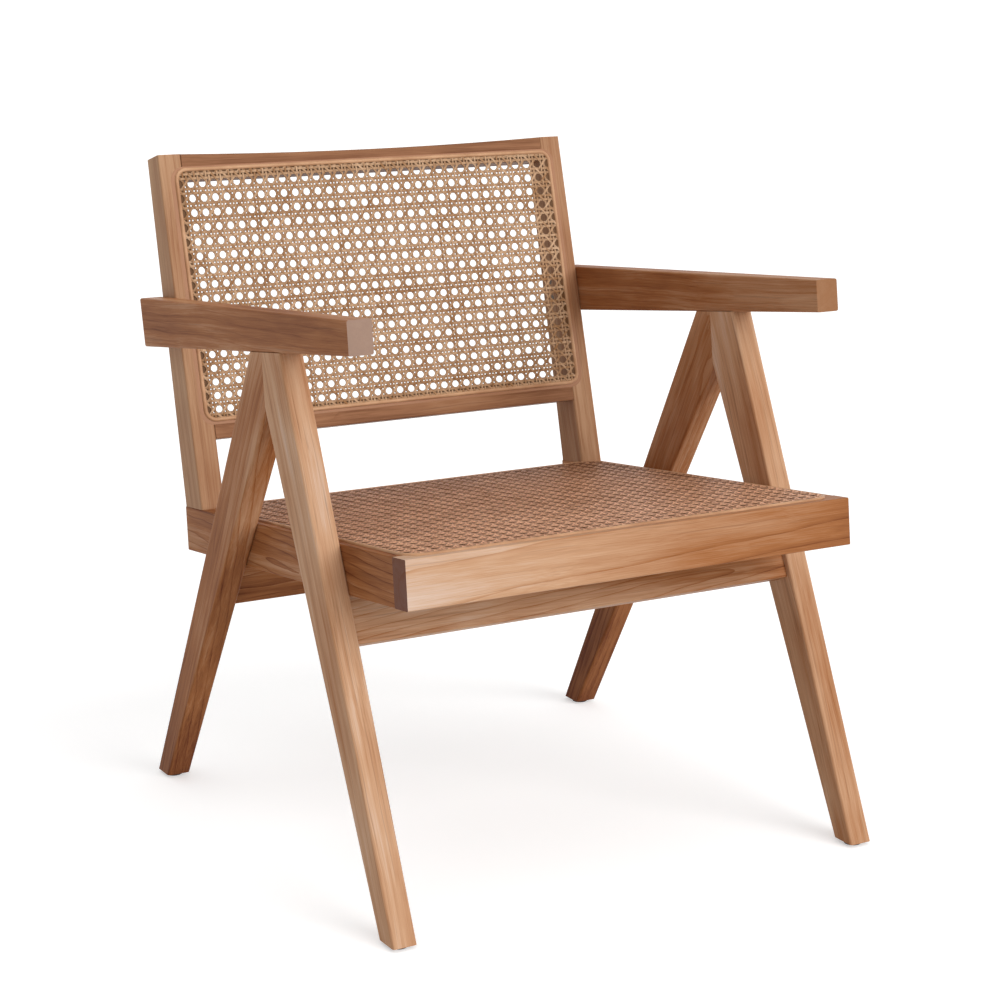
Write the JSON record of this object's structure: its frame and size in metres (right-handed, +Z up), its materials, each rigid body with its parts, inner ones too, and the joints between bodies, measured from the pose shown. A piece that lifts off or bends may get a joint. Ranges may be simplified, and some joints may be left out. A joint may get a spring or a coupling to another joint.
{
  "type": "lounge chair with cane seat and back",
  "caption": "Low hardwood lounge chair: tapered V-shaped side frames under deep arms, sloping seat and leaning back with woven cane panels.",
  "frame": {"origin": "middle of the chair's footprint box, on the floor", "axes": "+Z up, +Y towards the back of the chair, +X to the sitter's left (the viewer's right, seen from the front)"},
  "size_m": [0.604, 0.673, 0.7399],
  "materials": {
    "frame_wood": "satin oiled hardwood, mid brown",
    "cane": "natural woven cane",
    "reed": "natural reed bead",
    "dowel_wood": "plain beech",
    "screw_steel": "plain steel",
    "glide": "dark plastic"
  },
  "bodies": {
    "root": {"front_leg_left": "frame_wood", "front_leg_right": "frame_wood", "rear_leg_left": "frame_wood", "rear_leg_right": "frame_wood", "armrest_left": "frame_wood", "armrest_right": "frame_wood", "front_stretcher": "frame_wood", "rear_stretcher": "frame_wood", "seat_front_rail": "frame_wood", "seat_rear_rail": "frame_wood", "seat_side_rail_left": "frame_wood", "seat_side_rail_right": "frame_wood", "back_stile_left": "frame_wood", "back_stile_right": "frame_wood", "back_top_rail": "frame_wood", "back_lower_rail": "frame_wood", "seat_cane": "cane", "back_cane": "cane", "seat_spline": "reed", "back_spline": "reed", "leg_dowels": "dowel_wood", "arm_dowels": "dowel_wood", "seat_dowels": "dowel_wood", "back_dowels": "dowel_wood", "stile_dowels": "dowel_wood", "seat_screws": "screw_steel", "arm_screws": "screw_steel", "foot_glides": "glide"}
  },
  "joints": []
}
